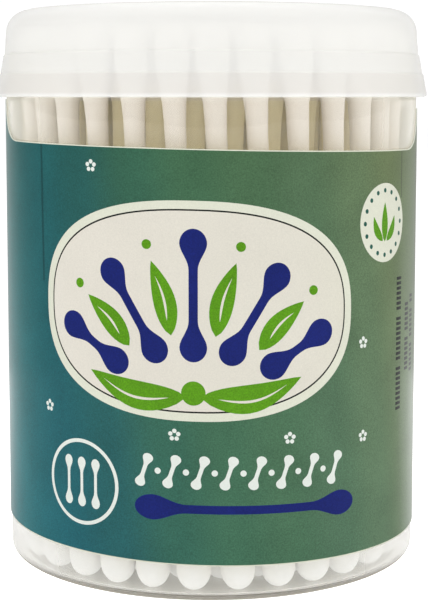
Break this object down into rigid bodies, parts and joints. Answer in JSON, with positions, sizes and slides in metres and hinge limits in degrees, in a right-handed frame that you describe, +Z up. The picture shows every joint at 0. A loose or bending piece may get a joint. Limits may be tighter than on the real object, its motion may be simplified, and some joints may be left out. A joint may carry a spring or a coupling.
{
  "type": "cotton swab tub",
  "caption": "Round clear plastic tub with a milky press-fit lid and a wrapped label, filled with standing cotton swabs.",
  "frame": {"origin": "centre of the face that the tub stands on", "axes": "+Z up along the axis of the tub, front of the label towards -Y, +X to the right seen from the front"},
  "size_m": [0.0628, 0.0628, 0.0786],
  "materials": {
    "tub": "clear, glossy, injection moulded",
    "label": "printed film, satin to glossy, teal to green",
    "lid": "milky natural plastic, smooth",
    "stick": "smooth white plastic",
    "cotton": "wound cotton fibre, matte"
  },
  "bodies": {
    "tub": {"tub": "tub", "label": "label", "sticks_ring_1": "stick", "sticks_ring_2": "stick", "sticks_ring_3": "stick", "sticks_ring_4": "stick", "sticks_ring_5": "stick", "lower_buds_ring_1": "cotton", "lower_buds_ring_2": "cotton", "lower_buds_ring_3": "cotton", "lower_buds_ring_4": "cotton", "lower_buds_ring_5": "cotton", "upper_buds_ring_1": "cotton", "upper_buds_ring_2": "cotton", "upper_buds_ring_3": "cotton", "upper_buds_ring_4": "cotton", "upper_buds_ring_5": "cotton"},
    "lid": {"lid": "lid"}
  },
  "joints": [
    {"name": "lid_lift", "type": "slide", "parent": "tub", "child": "lid", "axis": [0, 0, 1], "range_m": [0, 0.03]}
  ]
}
